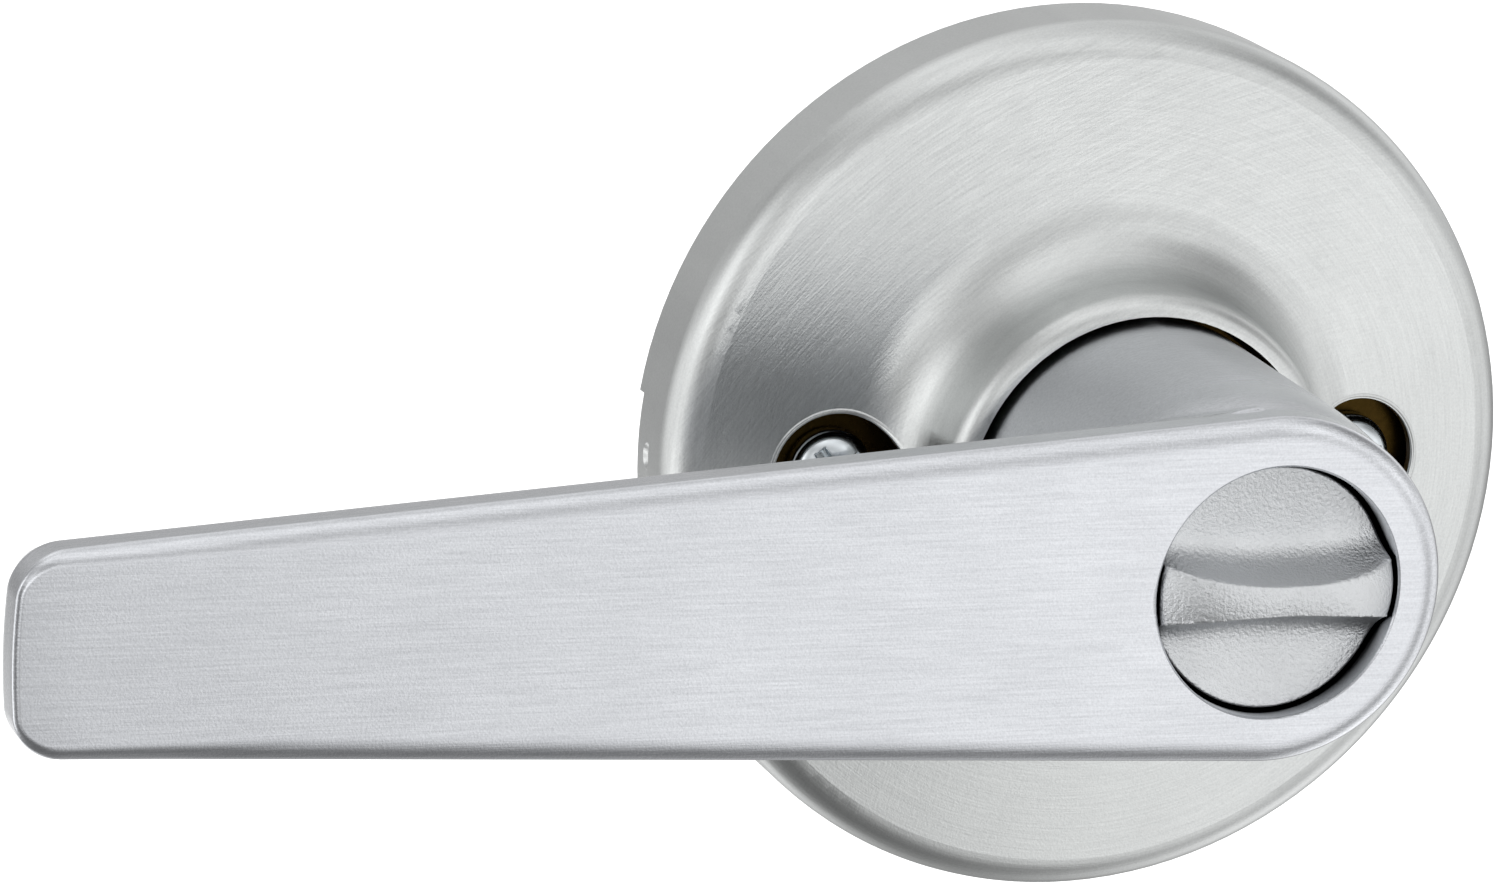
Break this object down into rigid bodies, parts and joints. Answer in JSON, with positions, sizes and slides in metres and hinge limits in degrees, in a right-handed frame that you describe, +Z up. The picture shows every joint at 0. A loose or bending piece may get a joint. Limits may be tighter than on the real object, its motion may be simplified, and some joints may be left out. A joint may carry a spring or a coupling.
{
  "type": "door lever handle",
  "caption": "Room-side half of a privacy door lever: round rose with a trumpet neck, flat tapered lever that springs back to level, and a turn button with a drive blade.",
  "frame": {"origin": "on the spindle axis, in the plane of the door's face that the rose's rim rests on", "axes": "+Z up, +Y into the door along the spindle, the lever points to -X"},
  "size_m": [0.1232, 0.0971, 0.0666],
  "materials": {
    "satin_chrome": "satin chrome plate, brushed in fine lines",
    "cast_satin_chrome": "satin chrome plate over an unbrushed casting",
    "yellow_zinc": "yellow-passivated zinc plate on pressed steel",
    "bright_zinc": "bright blue-white zinc plate",
    "nylon": "black moulded nylon",
    "spring_steel": "oiled spring steel",
    "plain_steel": "zinc-plated mild steel",
    "sintered_steel": "sintered steel, oiled"
  },
  "bodies": {
    "rose": {"rose_cover": "satin_chrome", "rose_liner": "yellow_zinc", "mounting_screws": "bright_zinc", "neck_bushing": "nylon", "thrust_washer": "plain_steel", "spring_cage": "bright_zinc", "cage_rivets": "bright_zinc", "return_spring": "spring_steel"},
    "lever": {"lever": "satin_chrome", "drive_sleeve": "sintered_steel", "sleeve_screws": "bright_zinc", "retaining_ring": "spring_steel", "spring_washer": "spring_steel", "stop_plate": "plain_steel", "plate_ring": "spring_steel", "half_round_spindle": "plain_steel", "spindle_pin": "plain_steel"},
    "turn_button": {"turn_button": "cast_satin_chrome", "button_washer": "nylon", "button_clip": "spring_steel", "torque_blade": "plain_steel", "blade_pin": "plain_steel"}
  },
  "joints": [
    {"name": "lever_turn", "type": "hinge", "parent": "rose", "child": "lever", "pos_m": [0, 0, 0], "axis": [0, -1, 0], "range_deg": [-45, 45], "stiffness_Nm_per_rad": 2, "deforming": ["return_spring"]},
    {"name": "button_turn", "type": "hinge", "parent": "lever", "child": "turn_button", "pos_m": [0, 0, 0], "axis": [0, 1, 0], "range_deg": [0, 90]}
  ]
}
